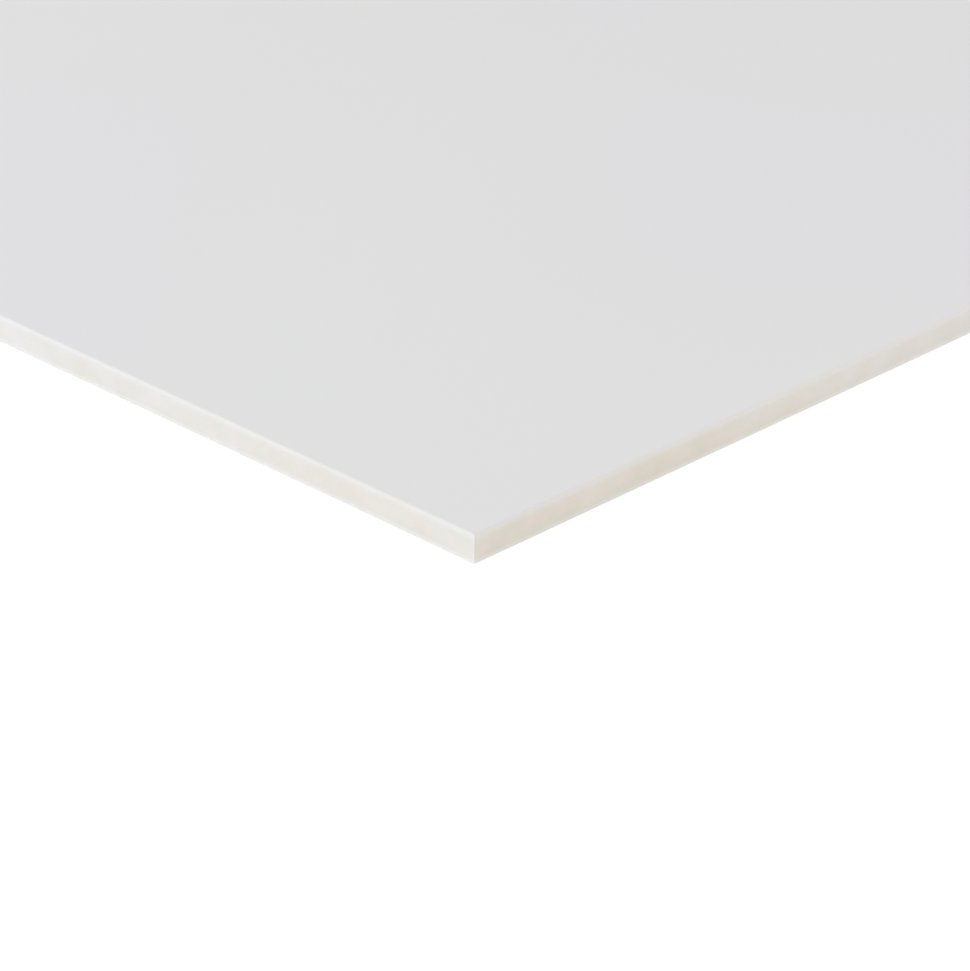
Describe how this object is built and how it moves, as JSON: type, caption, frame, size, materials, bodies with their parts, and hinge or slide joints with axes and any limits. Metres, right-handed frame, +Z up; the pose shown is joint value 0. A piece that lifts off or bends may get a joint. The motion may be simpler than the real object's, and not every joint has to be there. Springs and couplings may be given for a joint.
{
  "type": "mdf board",
  "caption": "Flat rectangular sheet of medium-density fibreboard with white-coated faces, pale sawn edges and rounded arrises; stock to cut panels, shelves and furniture parts from.",
  "frame": {"origin": "middle of the lower face, at the level of the floor that the sheet lies on", "axes": "+X along the sheet's length, +Y across its width, +Z up through its thickness"},
  "size_m": [2.44, 1.22, 0.018],
  "materials": {
    "white_faced_mdf": "satin"
  },
  "bodies": {
    "root": {"mdf_board": "white_faced_mdf"}
  },
  "joints": []
}
